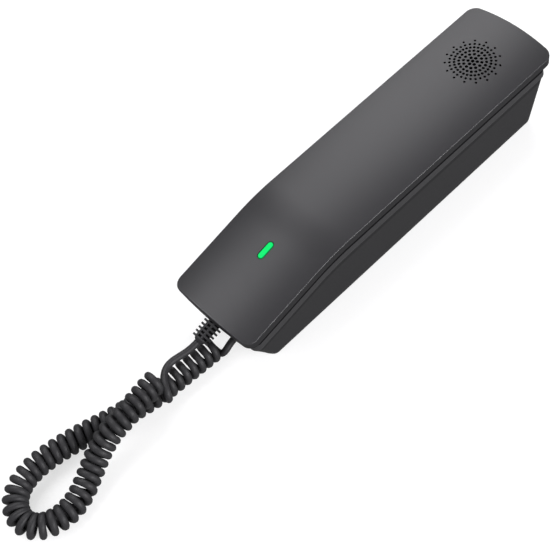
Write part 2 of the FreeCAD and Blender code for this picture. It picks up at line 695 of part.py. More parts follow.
def make_base_insides():
    """Board, sockets, hook switch, weight, feet and screws of the base."""
    board = block("-24", "0", "board_height", "114.5", "30", "board_thickness")
    keep(less("main_board", board, disc("-18", "11", "0", "1.6", "9"), disc("-18", "-11", "0", "1.6", "9"),
              disc("keyhole_spacing / 2", "0", "0", "7", "9")))
    keep(named(block("8", "-2", BOARD_TOP, "14", "14", "1.6"), "network_processor"))
    keep(named(block("24", "6", BOARD_TOP, "9", "15", "5.5"), "network_transformer"))
    keep(named(block("-2", "9", BOARD_TOP, "5", "8", "1.2"), "memory_chip"))

    ear = f"({EAR_END} - ear_bottom_inset)"
    jack = block(f"{ear} - 17", "network_y", BOARD_TOP, "18.2", "16", "13.6")
    mouth = block(f"{ear} - 8", "network_y", f"{BOARD_TOP} + 3.2", "20", "11.8", "7.2")
    latch = block(f"{ear} - 6", "network_y", f"{BOARD_TOP} + 1", "20", "4.4", "4")
    keep(less("network_jack", jack, mouth, latch))
    barrel = block(f"{ear} - 12", "power_y", BOARD_TOP, "13", "9", "11")
    bore = solid("Cylinder", f"{ear} - 7", "power_y", f"{BOARD_TOP} + 6.2", Radius="3.2", Height="14")
    turned(bore, (0, 1, 0), 90)
    socket = less("power_socket", barrel, bore)
    pin = solid("Cylinder", f"{ear} - 8", "power_y", f"{BOARD_TOP} + 6.2", Radius="1.05", Height="9")
    turned(pin, (0, 1, 0), 90)
    keep(joined("power_jack", socket, pin))

    inner = f"({CORD_END} + cord_end_inset)"
    shell = block(f"{inner} - 2.6", "cord_jack_y", "cord_jack_z - 4.15", "15", "11", "8.3")
    keep(less("handset_cord_jack", shell,
              block(f"{inner} - 4", "cord_jack_y", "cord_jack_z - 3.3", "12.4", "8", "6.6")))

    # hook switch: plunger, return spring and snap switch
    down = f"({CRADLE_UNDERSIDE} - hook_travel - 1.4)"
    stem = disc("hook_x", "0", down, "hook_radius", f"{INNER_FACE} - 0.1 - {down}")
    brim = disc("hook_x", "0", down, "hook_radius + 1.4", "1.2")
    arm = block("hook_x - 7.5", "0", down, "7.5", "3", "1.2")
    keep(joined("hook_plunger", stem, brim, arm))
    keep(coil_spring(f"{BOARD_TOP} + 0.1", f"{down} - 0.1"))
    keep(named(block("hook_x - 14", "0", BOARD_TOP, "9.6", "6.4", f"{down} - {BOARD_TOP} - 0.4"), "hook_switch"))

    ballast = block("-78", "0", f"{COVER_TOP} + 0.1", "34", "36", "5.5")
    keep(less("base_weight", ballast, disc("-keyhole_spacing / 2", "0", "0", "8", "12")))

    feet = [disc(x, y, "0", "foot_radius", "foot_stand") for x in ("-80", "84") for y in ("-15.5", "15.5")]
    keep(group("rubber_feet", *feet))
    screws = []
    for x, y in BASE_BOSSES:
        head = disc(x, y, "foot_stand + 0.15", "screw_head_radius", "0.8")
        screws.append(joined(f"base_screw_{len(screws)}", head, disc(x, y, "foot_stand + 0.9", "0.9", "7.5")))
    keep(group("base_screws", *screws))


def turned(piece, axis, degrees):
    piece.Placement.Rotation = FreeCAD.Rotation(Vector(*axis), degrees)
    return piece


def coil_spring(low, high):
    """Return spring of the hook switch: a helix of wire with an eight-sided section, so that its mesh stays light."""
    bottom, top = value(low), value(high)
    wire, radius, turns, sides = 0.35, value("hook_radius") + 0.7, 5, 8
    helix = Part.makeHelix((top - bottom - 2 * wire) / turns, top - bottom - 2 * wire, radius)
    corners = [2 * math.pi * i / sides for i in range(sides + 1)]
    section = Part.makePolygon([Vector(radius + wire * math.cos(a), 0, wire * math.sin(a)) for a in corners])
    sweep = Part.Wire(helix.Edges).makePipeShell([section], True, True)
    made = doc.addObject("Part::Feature", "hook_spring")
    made.Label = "hook_spring"
    made.Shape = sweep
    made.Placement = FreeCAD.Placement(Vector(value("hook_x"), 0, bottom + wire), FreeCAD.Rotation())
    return made


# ------------------------------------------------------------------ cord
def tube(label, route, diameter):
    """A round tube along straight runs joined by tangent arcs, each as large as its two runs allow."""
    points = [Vector(*p) for p in route]
    edges, here = [], points[0]
    radii = []
    for before, corner, after in zip(points, points[1:], points[2:]):
        arriving, leaving = corner - before, after - corner
        turn = arriving.getAngle(leaving)
        setback = 0.45 * min(arriving.Length, leaving.Length)
        radii.append(setback / math.tan(turn / 2))
        start = corner - Vector(arriving).normalize() * setback
        stop = corner + Vector(leaving).normalize() * setback
        inward = (Vector(leaving).normalize() - Vector(arriving).normalize()).normalize()
        middle = corner + inward * (radii[-1] / math.cos(turn / 2) - radii[-1])
        edges += [Part.LineSegment(here, start).toShape(), Part.Arc(start, middle, stop).toShape()]
        here = stop
    edges.append(Part.LineSegment(here, points[-1]).toShape())
    path = Part.Wire(edges)
    direction = points[1] - points[0]
    section = Part.Wire(Part.makeCircle(diameter / 2, points[0], direction))
    shape = path.makePipeShell([section], True, True)
    expected = math.pi * diameter**2 / 4 * path.Length
    print(f"{label}: length {path.Length:.1f}, radii {[round(r, 1) for r in radii]},"
          f" volume ratio {shape.Volume / expected:.4f}")
    made = doc.addObject("Part::Feature", label)
    made.Label = label
    made.Shape = shape
    return made


# Centreline points: the coil's fat tube runs on the table, loops round and comes back over itself.
COIL_ROUTE = [
    (-111, -2.6, 6), (-126, -1.4, 6), (-142, -0.6, 6), (-155, 1.8, 6), (-168, 5.2, 6), (-181, 9.4, 6),
    (-194, 12.6, 6), (-206, 14.2, 6), (-217, 12.6, 6), (-225, 6.8, 6), (-228, -2.6, 6), (-223.5, -10.6, 6),
    (-214, -14.6, 6), (-203, -14.4, 6), (-193, -10.6, 7), (-184, -7.4, 10.5), (-174, -4.8, 15.4),
    (-162, -3.6, 18.6), (-152, -2.6, 18.6), (-144, -1.6, 18.4),
]
BASE_LEAD_ROUTE = [(-96.9, -6, 7), (-102, -6.1, 6.6), (-106.5, -5.4, 5.8), (-110.8, -2.8, 6)]
HANDSET_LEAD_ROUTE = [(-119, 0, 16.2), (-124, 0.8, 15), (-131, 1.6, 14.6), (-137.5, 0.6, 15), (-143.6, -1.6, 17.6)]


def make_cord():
    """Curly cord: fat tube for its coil, a lead to each end, the neck on the handset and the plug in the base."""
    keep(tube("cord_coil", COIL_ROUTE, value("coil_diameter")))
    keep(tube("cord_base_lead", BASE_LEAD_ROUTE, value("wire_diameter")))
    keep(tube("cord_handset_lead", HANDSET_LEAD_ROUTE, value("wire_diameter")))
    inner = f"({CORD_END} + cord_end_inset)"
    body = block(f"{inner} - 3.6", "cord_jack_y", "cord_jack_z - 3.1", "11.6", "7.6", "5.4")
    latch = block(f"{inner} - 3.6", "cord_jack_y", "cord_jack_z + 2.3", "9", "3.2", "0.9")
    keep(joined("cord_plug", body, latch))
    neck = new_body("handset_neck")
    half = new_sketch(neck, "XZ_Plane")
    profile = [("9", "0"), ("9", "2.9"), ("0", "2.9")]
    for rib in range(5):
        x = 2.3 * rib
        wide = 4.2 - 0.17 * rib
        profile += [(f"{-x}", f"{wide}"), (f"{-x - 1.3}", f"{wide}"), (f"{-x - 1.3}", "2.6"), (f"{-x - 2.3}", "2.6")]
    profile += [("-12.2", "2.3"), ("-12.2", "0")]
    outline(half, profile)
    made = neck.newObject("PartDesign::Revolution", "Revolution")
    made.Profile = half
    made.ReferenceAxis = (half, ["H_Axis"])
    made.Angle = 360
    neck.Tip = made
    keep(tilt(neck, CORD_END, EXIT_Z))


make_outer_shell()
make_inner_shell()
make_handset_insides()
make_keys()
make_top_cover()
make_bottom_cover()
make_base_insides()
make_cord()
doc.recompute()

# ------------------------------------------------------------------ tests, then the files
failed = [item for item in doc.Objects if "Invalid" in item.State or "Error" in item.State]
for item in failed:
    owner = item.getParentGeoFeatureGroup() if hasattr(item, "getParentGeoFeatureGroup") else None
    print(f"failed: {item.Name} in {owner.Label if owner else None}, state {item.State}")
if failed:
    raise RuntimeError("the document did not recompute")
for piece in PARTS:
    if piece.Shape.isNull() or not piece.Shape.isValid():
        raise RuntimeError(f"{piece.Label} has no valid shape")
os.makedirs("parts", exist_ok=True)
for piece in PARTS:
    piece.Shape.exportStep(f"parts/{piece.Label}.step")
print(f"{len(PARTS)} nodes")
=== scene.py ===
"""Looks of the slim desk IP phone: moulded shells, dial keys, sockets and the curly cord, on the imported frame."""
import bpy, bmesh
import math
from mathutils import Matrix, Vector
from mathutils.geometry import delaunay_2d_cdt
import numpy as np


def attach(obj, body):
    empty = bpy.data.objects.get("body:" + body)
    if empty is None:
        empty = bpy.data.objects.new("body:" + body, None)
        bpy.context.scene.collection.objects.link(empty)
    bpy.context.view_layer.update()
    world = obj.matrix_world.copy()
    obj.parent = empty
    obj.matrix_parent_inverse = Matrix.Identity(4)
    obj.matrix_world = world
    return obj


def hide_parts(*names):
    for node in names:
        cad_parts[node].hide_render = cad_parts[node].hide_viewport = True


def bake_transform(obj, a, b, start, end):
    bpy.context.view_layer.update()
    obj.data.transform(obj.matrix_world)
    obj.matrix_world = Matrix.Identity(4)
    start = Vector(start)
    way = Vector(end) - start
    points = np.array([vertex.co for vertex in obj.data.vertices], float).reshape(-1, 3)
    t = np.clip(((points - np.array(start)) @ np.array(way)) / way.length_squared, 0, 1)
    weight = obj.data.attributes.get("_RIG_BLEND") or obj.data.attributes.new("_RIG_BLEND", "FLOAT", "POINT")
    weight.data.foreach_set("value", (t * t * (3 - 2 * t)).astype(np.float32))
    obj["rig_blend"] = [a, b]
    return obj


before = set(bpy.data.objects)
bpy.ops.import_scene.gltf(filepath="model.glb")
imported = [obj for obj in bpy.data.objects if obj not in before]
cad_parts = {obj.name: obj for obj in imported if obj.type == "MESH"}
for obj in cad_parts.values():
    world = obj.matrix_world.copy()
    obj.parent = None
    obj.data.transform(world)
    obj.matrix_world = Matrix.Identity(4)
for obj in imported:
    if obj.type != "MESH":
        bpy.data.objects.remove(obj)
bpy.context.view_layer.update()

scene = bpy.context.scene
MM = 0.001                                       # shapes are worked out in millimetres, like the CAD


# ------------------------------------------------------------------ camera and light
def camera():
    """The photograph's viewpoint: above the cord end, a little to one side, with the camera rolled."""
    place = Vector((-0.24342, -0.27571, 0.52159))
    target = Vector((-0.06747, -0.00269, 0.02))
    roll = math.radians(-13.538)
    data = bpy.data.cameras.new("camera")
    data.sensor_width, data.lens = 36, 83.02
    data.clip_start, data.clip_end = 0.01, 10
    made = bpy.data.objects.new("camera", data)
    look = (target - place).to_track_quat("-Z", "Y").to_matrix() @ Matrix.Rotation(roll, 3, "Z")
    made.matrix_world = Matrix.Translation(place) @ look.to_4x4()
    scene.collection.objects.link(made)
    scene.camera = made


def softbox(name, place, target, size, power, glossy=True):
    """A rectangular area light, faintly cool, aimed at a point; glossy=False keeps it out of reflections."""
    data = bpy.data.lights.new(name, "AREA")
    data.shape, data.size, data.size_y = "RECTANGLE", *size
    data.energy, data.color = power, (0.985, 0.98, 1.0)
    made = bpy.data.objects.new(name, data)
    look = (Vector(target) - Vector(place)).to_track_quat("-Z", "Y").to_matrix()
    made.matrix_world = Matrix.Translation(place) @ look.to_4x4()
    made.visible_glossy = glossy
    scene.collection.objects.link(made)


def studio():
    """Dim white surroundings, three lights that the plastic mirrors and one that only fills."""
    world = bpy.data.worlds.new("studio")
    scene.world = world
    world.use_nodes = True
    background = world.node_tree.nodes["Background"]
    background.inputs["Color"].default_value = (1, 1, 1, 1)
    background.inputs["Strength"].default_value = 0.25
    softbox("key", (0.60, 0.66, 0.88), (0, 0, 0.03), (0.74, 0.95), 8.3)
    softbox("top", (-0.29, 0.55, 1.0), (-0.07, 0, 0.03), (0.38, 0.58), 3.8)
    softbox("front_strip", (0.08, -0.98, 0.53), (0, 0, 0.03), (1.3, 0.2), 15.0)
    softbox("fill", (-1.2, 0.25, 0.75), (0, 0, 0), (0.8, 0.8), 8, glossy=False)
    scene.view_settings.view_transform = "Standard"


# ------------------------------------------------------------------ materials
def moulded(name, colour, roughness=0.45, grain=0.00035, depth=0.00002, vary=0.08, specular=0.5, metal=0.0):
    """Moulded plastic or rubber: fine spark-eroded grain, faint flow marks in colour and gloss."""
    made = bpy.data.materials.new(name)
    made.use_nodes = True
    nodes, links = made.node_tree.nodes, made.node_tree.links
    shader = nodes["Principled BSDF"]
    place = nodes.new("ShaderNodeTexCoord")
    fine = nodes.new("ShaderNodeTexNoise")
    fine.inputs["Scale"].default_value = 1 / grain
    fine.inputs["Detail"].default_value = 3
    broad = nodes.new("ShaderNodeTexNoise")
    broad.inputs["Scale"].default_value = 28
    broad.inputs["Detail"].default_value = 5
    for texture in (fine, broad):
        links.new(place.outputs["Object"], texture.inputs["Vector"])
    tint = nodes.new("ShaderNodeMix")
    tint.data_type = "RGBA"
    tint.inputs["A"].default_value = (*(c * (1 - vary) for c in colour), 1)
    tint.inputs["B"].default_value = (*(c * (1 + vary) for c in colour), 1)
    links.new(broad.outputs["Fac"], tint.inputs["Factor"])
    links.new(tint.outputs["Result"], shader.inputs["Base Color"])
    gloss = nodes.new("ShaderNodeMapRange")
    gloss.inputs["From Min"].default_value, gloss.inputs["From Max"].default_value = 0.3, 0.7
    gloss.inputs["To Min"].default_value = roughness - 0.05
    gloss.inputs["To Max"].default_value = roughness + 0.05
    links.new(fine.outputs["Fac"], gloss.inputs["Value"])
    links.new(gloss.outputs["Result"], shader.inputs["Roughness"])
    bump = nodes.new("ShaderNodeBump")
    bump.inputs["Strength"].default_value = 0.6
    bump.inputs["Distance"].default_value = depth
    links.new(fine.outputs["Fac"], bump.inputs["Height"])
    links.new(bump.outputs["Normal"], shader.inputs["Normal"])
    shader.inputs["Specular IOR Level"].default_value = specular
    shader.inputs["Metallic"].default_value = metal
    return made


def woven(name, colour, pitch):
    """Plain cloth: two crossing sets of threads, with lint."""
    made = moulded(name, colour, roughness=0.9, grain=pitch / 2, vary=0.3, specular=0.15)
    nodes, links = made.node_tree.nodes, made.node_tree.links
    place = nodes["Texture Coordinate"]
    crossed = nodes.new("ShaderNodeMath")
    crossed.operation = "MULTIPLY"
    for direction, socket in zip("XY", crossed.inputs):
        threads = nodes.new("ShaderNodeTexWave")
        threads.bands_direction = direction
        threads.inputs["Scale"].default_value = 0.314 / pitch
        threads.inputs["Distortion"].default_value = 0.4
        links.new(place.outputs["Object"], threads.inputs["Vector"])
        links.new(threads.outputs["Fac"], socket)
    links.new(crossed.outputs["Value"], nodes["Bump"].inputs["Height"])
    nodes["Bump"].inputs["Distance"].default_value = pitch / 3
    return made


def clear(name):
    """Clear moulded plastic, a little milky where it is thick."""
    made = moulded(name, (0.72, 0.76, 0.78), roughness=0.16, grain=0.0012, depth=0.00001, specular=0.5)
    made.node_tree.nodes["Principled BSDF"].inputs["Transmission Weight"].default_value = 0.75
    return made


def glowing(name, strength):
    """The lamp's light pipe: bright green, a little uneven, dimmer at its rim."""
    made = bpy.data.materials.new(name)
    made.use_nodes = True
    nodes, links = made.node_tree.nodes, made.node_tree.links
    shader = nodes["Principled BSDF"]
    place = nodes.new("ShaderNodeTexCoord")
    noise = nodes.new("ShaderNodeTexNoise")
    noise.inputs["Scale"].default_value = 420
    links.new(place.outputs["Object"], noise.inputs["Vector"])
    tint = nodes.new("ShaderNodeMix")
    tint.data_type = "RGBA"
    tint.inputs["A"].default_value = (0.001, 0.80, 0.15, 1)
    tint.inputs["B"].default_value = (0.004, 0.94, 0.20, 1)
    links.new(noise.outputs["Fac"], tint.inputs["Factor"])
    links.new(tint.outputs["Result"], shader.inputs["Emission Color"])
    shader.inputs["Emission Strength"].default_value = strength
    shader.inputs["Base Color"].default_value = (0.0, 0.02, 0.006, 1)
    shader.inputs["Roughness"].default_value = 0.35
    shader.inputs["Specular IOR Level"].default_value = 0.06
    return made


SHELL = moulded("shell_charcoal", (0.0205, 0.020, 0.0222), roughness=0.38, specular=0.4)
# painted shade: a darker copy of the shell's plastic for the handset's side walls
SHELL_SIDE_SHADED = moulded("shell_side_painted_shade", (0.014, 0.0137, 0.0150), roughness=0.5, specular=0.33)
# painted highlight: a lighter copy of the shell's colour for the eased long edges, which are also glossier
SHELL_EDGE_HIGHLIGHT = moulded(
    "shell_edge_painted_highlight", (0.022, 0.0215, 0.024), roughness=0.3, grain=0.0003, depth=0.00001, specular=0.62
)
# painted shade: near-black for the gap under the handset's edge, the sound holes, the neck's core and the base rim's
# top
PAINTED_SHADE = moulded("painted_gap_shade", (0.005, 0.005, 0.0055), roughness=0.7, specular=0.05)
BASE = moulded("base_charcoal", (0.0155, 0.0152, 0.0164), roughness=0.5, specular=0.38)
# painted light: a lighter copy of the base's plastic for the rim band, which faces a little upwards
BASE_BAND_LIT = moulded("base_band_painted_light", (0.0255, 0.0250, 0.0268), roughness=0.45, specular=0.6)
# painted shadow: a darker copy of the base's plastic for the step under the rim band
BASE_STEP_SHADED = moulded("base_step_painted_shadow", (0.0115, 0.0113, 0.0121), roughness=0.55, specular=0.27)
INNER = moulded("inner_charcoal", (0.030, 0.030, 0.032), roughness=0.55)
CORD = moulded(
    "cord_jacket_black", (0.023, 0.0226, 0.0245), roughness=0.52, grain=0.0006, depth=0.00008, vary=0.25, specular=0.34
)
LAMP = glowing("lamp_glow_green", 1.0)
LAMP_RIM = glowing("lamp_rim_green", 0.3)
KEY = moulded("key_charcoal", (0.055, 0.055, 0.058), roughness=0.5, grain=0.0003)
PRINT = moulded("printed_pale_grey", (0.62, 0.62, 0.62), roughness=0.6, grain=0.0004, vary=0.04)
SOCKET = moulded("socket_black", (0.012, 0.012, 0.012), roughness=0.35, grain=0.0005)
RUBBER = moulded(
    "foot_rubber_black", (0.018, 0.018, 0.018), roughness=0.8, grain=0.0006, depth=0.00005, specular=0.25
)
BOARD = moulded("circuit_board_green", (0.012, 0.085, 0.03), roughness=0.35, grain=0.0012, vary=0.15)
CHIP = moulded("chip_plastic_black", (0.014, 0.014, 0.015), roughness=0.55, grain=0.0002)
DULL_STEEL = moulded("plain_steel", (0.36, 0.36, 0.37), roughness=0.5, grain=0.0015, depth=0.00003, metal=1.0)
MEMBRANE = moulded("membrane_silicone", (0.30, 0.31, 0.32), roughness=0.7, grain=0.0005, specular=0.3)
CONE = moulded("cone_film", (0.16, 0.12, 0.06), roughness=0.3, grain=0.001, depth=0.00003)
FOAM = moulded(
    "gasket_foam", (0.035, 0.035, 0.036), roughness=0.95, grain=0.0009, depth=0.0002, vary=0.3, specular=0.15
)
CLOTH = woven("grille_cloth_black", (0.010, 0.010, 0.011), 0.0004)
CLEAR = clear("plug_clear_plastic")
STEEL = moulded("screw_steel", (0.5, 0.5, 0.52), roughness=0.32, grain=0.0008, depth=0.00001, metal=1.0)


# ------------------------------------------------------------------ mesh helpers
def link(name, mesh, material=None, body=None):
    made = bpy.data.objects.new(name, mesh)
    scene.collection.objects.link(made)
    if material:
        mesh.materials.clear()
        mesh.materials.append(material)
    mesh.shade_smooth()
    if body:
        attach(made, body)
    return made


def soften(mesh, angle=32):
    """Smooth shading that stops at real edges."""
    mesh.shade_smooth()
    mesh.set_sharp_from_angle(angle=math.radians(angle))


def into_mesh(built, name):
    bmesh.ops.recalc_face_normals(built, faces=built.faces)
    mesh = bpy.data.meshes.new(name)
    built.to_mesh(mesh)
    built.free()
    return mesh


def carve(obj, *cutters):
    """Takes the cutters' space out of a piece, and removes the cutters."""
    for tool in cutters:
        carving = obj.modifiers.new("carve", "BOOLEAN")
        carving.operation, carving.solver, carving.object = "DIFFERENCE", "EXACT", tool
    settle(obj)
    for tool in cutters:
        bpy.data.objects.remove(tool)


def settle(obj):
    """Applies the modifiers by swapping in the evaluated mesh."""
    graph = bpy.context.evaluated_depsgraph_get()
    mesh = bpy.data.meshes.new_from_object(obj.evaluated_get(graph))
    obj.modifiers.clear()
    obj.data = mesh


def loft(built, rings):
    """Quads between rings of equal count. Returns the rings' vertices."""
    rows = [[built.verts.new(p) for p in ring] for ring in rings]
    count = len(rows[0])
    for low, high in zip(rows, rows[1:]):
        for k in range(count):
            built.faces.new((low[k], low[(k + 1) % count], high[(k + 1) % count], high[k]))
    return rows


def cap(built, rows):
    """Closes a loft's two ends."""
    built.faces.new(rows[0])
    built.faces.new(list(reversed(rows[-1])))


def smooth_line(route):
    """Points along the NURBS spline whose control points are the route."""
    data = bpy.data.curves.new("line", "CURVE")
    data.dimensions, data.resolution_u = "3D", 40
    spline = data.splines.new("NURBS")
    spline.points.add(len(route) - 1)
    for point, place in zip(spline.points, route):
        point.co = (*place, 1)
    spline.order_u, spline.use_endpoint_u = 3, True
    holder = bpy.data.objects.new("line", data)
    mesh = bpy.data.meshes.new_from_object(holder)
    points = [v.co.copy() for v in mesh.vertices]
    bpy.data.objects.remove(holder)
    bpy.data.curves.remove(data)
    bpy.data.meshes.remove(mesh)
    return points


def lengths(points):
    run = [0.0]
    for a, b in zip(points, points[1:]):
        run.append(run[-1] + (b - a).length)
    return run


class Line:
    """A polyline that can be asked for its place and direction at any distance along it."""

    def __init__(self, points):
        self.points, self.run = points, lengths(points)
        self.length = self.run[-1]

    def at(self, distance):
        distance = min(max(distance, 0), self.length)
        low, high = 0, len(self.run) - 1
        while high - low > 1:
            middle = (low + high) // 2
            low, high = (middle, high) if self.run[middle] <= distance else (low, middle)
        span = self.run[high] - self.run[low]
        return self.points[low].lerp(self.points[high], (distance - self.run[low]) / span if span else 0)

    def along(self, distance):
        reach = 0.6 * MM
        return (self.at(distance + reach) - self.at(distance - reach)).normalized()


def tube_mesh(points, radius, sides):
    """A round tube along points, with frames carried from one to the next and both ends closed."""
    built = bmesh.new()
    rings = []
    side = None
    for i, point in enumerate(points):
        ahead = (points[min(i + 1, len(points) - 1)] - points[max(i - 1, 0)]).normalized()
        if side is None:
            side = ahead.orthogonal().normalized()
        side = (side - ahead * side.dot(ahead)).normalized()
        other = ahead.cross(side)
        rings.append([
            point + (side * math.cos(a) + other * math.sin(a)) * radius
            for a in (2 * math.pi * k / sides for k in range(sides))
        ])
    rows = loft(built, rings)
    built.faces.new(list(reversed(rows[0])))
    built.faces.new(rows[-1])
    return into_mesh(built, "tube")


# ------------------------------------------------------------------ the curly cord
def metres(route):
    return [Vector(point) * MM for point in route]


HANDSET_LEAD = metres([
    (-115.5, 0, 16.9), (-118.6, 0.2, 16.1), (-121.7, 0.7, 15.4), (-125.5, 1.6, 15.0), (-129.8, 2.5, 15.0),
    (-133.6, 2.1, 15.2), (-136.9, 0.1, 16.0), (-139.6, -2.9, 17.2), (-141.4, -6.0, 17.8), (-142.8, -8.9, 17.0),
    (-143.6, -10.5, 14.7), (-143.9, -10.3, 11.9), (-143.7, -8.1, 10.5), (-143.2, -5.2, 11.3), (-142.8, -2.7, 13.0),
    (-142.4, -0.4, 14.8),
])
COIL = metres([
    (-109, -2.7, 6.2), (-126, -1.4, 6.2), (-142, -0.6, 6.2), (-155, 1.8, 6.2), (-168, 5.2, 6.2), (-181, 9.4, 6.2),
    (-194, 12.6, 6.2), (-206, 14.2, 6.2), (-217, 12.6, 6.2), (-225, 6.8, 6.2), (-228, -2.6, 6.2),
    (-223.8, -10.8, 6.2), (-214, -14.6, 6.2), (-203, -13.6, 6.4), (-192.5, -8.8, 7.6), (-183.5, -5.4, 11.2),
    (-174, -4.0, 16), (-162, -4.2, 18.9), (-152, -2.8, 19), (-142, -1.4, 19),
])
BASE_LEAD = metres([
    (-95, -6, 7), (-101, -6.3, 7.0), (-104.8, -7.0, 6.7), (-107.4, -7.5, 5.5), (-109.0, -6.7, 3.4),
    (-109.4, -4.9, 1.9), (-109.4, -2.7, 1.75),
])
WIRE, SIDES = 1.75 * MM, 14                      # the wire's radius, and the sides of its mesh
COIL_RADIUS, PITCH = 4.45 * MM, 4.296 * MM       # to the wire's centre
LEAN = 0.35 * MM                                 # how far each turn leans along the coil
STEPS = 26                                       # points to a turn
BASE_STEPS, HANDSET_STEPS = 20, 48               # points on each lead
EASED, PASSES = 14, 14                           # points each side of a joint that are eased, and how often


def cord_line():
    """The wire's own centreline from the plug to the neck: base lead, left-hand helix, handset lead."""
    base, coil, lead = (Line(smooth_line(r)) for r in (BASE_LEAD, COIL, HANDSET_LEAD))
    helix = []
    up = Vector((0, 0, 1))
    turns = round(coil.length / PITCH)
    for i in range(turns * STEPS + 1):
        share = i / (turns * STEPS)
        distance = share * coil.length
        angle = -math.pi / 2 - 2 * math.pi * i / STEPS
        along = coil.along(distance)
        across = up.cross(along).normalized()
        rise = along.cross(across)
        fade = math.sin(math.pi * min(1, 30 * min(share, 1 - share)) / 2)          # upright at both ends
        outward = across * math.cos(angle) + rise * math.sin(angle)
        helix.append(coil.at(distance) + outward * COIL_RADIUS - along * (LEAN * math.cos(angle) * fade))
    start = [base.at(base.length * k / BASE_STEPS) for k in range(BASE_STEPS)]
    finish = [lead.at(lead.length * k / HANDSET_STEPS) for k in range(HANDSET_STEPS - 1, -1, -1)]
    line = start + helix + finish
    joints = (len(start), len(start) + len(helix))
    for _ in range(PASSES):                      # eases the two joints only, less and less away from them
        line = [
            line[i].lerp((line[i - 1] + line[i + 1]) / 2, 0.5 * max(0, *(1 - abs(i - j) / EASED for j in joints)))
            if 0 < i < len(line) - 1 else line[i]
            for i in range(len(line))
        ]
    return line


def curly_cord(ribbed):
    """The whole cord as one tube, whose handset end rises with the handset while its loop stays on the table."""
    points = list(reversed(cord_line()))         # from the handset's neck to the plug
    made = link("curly_cord", tube_mesh(points, WIRE, SIDES), CORD)
    run = lengths(points)
    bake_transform(made, "base", "handset", start=(-0.15, 0, 0.01), end=(-0.119, 0, 0.0162))
    held, let_go = 0.006, 0.62                   # the lead and the upper turns stretch as the handset lifts
    weight = made.data.attributes["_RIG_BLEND"]
    for i, vertex in enumerate(weight.data):
        share = min(max((run[i // SIDES] - held) / (let_go - held), 0), 1)
        vertex.value = (1 - share) ** 2 * (1 + 2 * share)
    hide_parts("cord_coil", "cord_base_lead", "cord_handset_lead")


# ------------------------------------------------------------------ shapes shared by the mouldings
CREASE = 39.96                                   # table to the handset's long edges
KNEE, DROP, KNEE_RADIUS = -49.9, math.atan(13 / 56.7), 100             # the knee's place, the slope past it, its bend
HALF, SAGITTA = 26.0, 2.8                        # half the handset's width, and how much its face bulges
BULGE = (HALF ** 2 + SAGITTA ** 2) / (2 * SAGITTA)                     # the bulge's radius
KNEE_REACH = KNEE_RADIUS * math.tan(DROP / 2)
KNEE_FIRST, KNEE_LAST = KNEE + KNEE_REACH, KNEE - KNEE_REACH * math.cos(DROP)


def crease(x):
    """Height of the handset's long edges at x: level, then over the knee, then down the slope."""
    if x >= KNEE_FIRST:
        return CREASE
    if x >= KNEE_LAST:
        return CREASE - KNEE_RADIUS + math.sqrt(KNEE_RADIUS ** 2 - (KNEE_FIRST - x) ** 2)
    return CREASE - (KNEE - x) * math.tan(DROP)


def lean(x):
    """Slope of the long edges at x; the handset's side and end walls stand square to it."""
    return DROP * min(max((KNEE_FIRST - x) / (KNEE_FIRST - KNEE_LAST), 0), 1)


def crown(x, y):
    """Height of the handset's outer face."""
    bulge = math.sqrt(BULGE ** 2 - min(y * y, BULGE ** 2)) - BULGE + SAGITTA
    return crease(x) + bulge / (1 if x > KNEE else math.cos(DROP))


def crown_normal(x, y):
    """Direction straight out of the handset's outer face."""
    reach = 0.05
    fall = (crown(x + reach, y) - crown(x - reach, y), crown(x, y + reach) - crown(x, y - reach))
    return Vector((-fall[0] / (2 * reach), -fall[1] / (2 * reach), 1)).normalized()


def plan(x0, x1, half, radius, bow=0.0, inset=0.0, along=96, corner=9, across=12):
    """Rounded rectangle in plan, counter-clockwise, with slightly bowed ends."""
    x0, x1, half, radius = x0 + inset, x1 - inset, half - inset, max(radius - inset, 0.4)
    reach, run = half - radius, x1 - x0 - 2 * radius
    turns = [math.pi / 2 * k / corner for k in range(corner)]

    def end(y):
        return bow * (1 - (y / max(reach, 0.1)) ** 2)

    points = [(x0 + radius + run * k / along, -half) for k in range(along)]
    points += [(x1 - bow - radius + radius * math.sin(a), -half + radius - radius * math.cos(a)) for a in turns]
    points += [(x1 - bow + end(y), y) for y in (-reach + 2 * reach * k / across for k in range(across))]
    points += [(x1 - bow - radius + radius * math.cos(a), half - radius + radius * math.sin(a)) for a in turns]
    points += [(x1 - radius - run * k / along, half) for k in range(along)]
    points += [(x0 + bow + radius - radius * math.sin(a), half - radius + radius * math.cos(a)) for a in turns]
    points += [(x0 + bow - end(y), y) for y in (reach - 2 * reach * k / across for k in range(across))]
    points += [(x0 + bow + radius - radius * math.cos(a), -half + radius - radius * math.sin(a)) for a in turns]
    return points


def circle(x, y, radius, count):
    turns = [2 * math.pi * k / count for k in range(count)]
    return [(x + radius * math.cos(a), y + radius * math.sin(a)) for a in turns]


def stadium(x, y, length, width, count=10):
    """A slot with round ends, in plan."""
    reach, radius = (length - width) / 2, width / 2
    turns = [math.pi * k / count for k in range(count + 1)]
    points = [(x + reach + radius * math.sin(a), y - radius * math.cos(a)) for a in turns]
    points += [(x - reach - radius * math.sin(a), y + radius * math.cos(a)) for a in turns]
    return points


def inside(point, loop):
    """True where a point lies within a closed loop."""
    x, y = point
    found = False
    for (ax, ay), (bx, by) in zip(loop, loop[1:] + loop[:1]):
        if (ay > y) != (by > y) and x < (bx - ax) * (y - ay) / (by - ay) + ax:
            found = not found
    return found


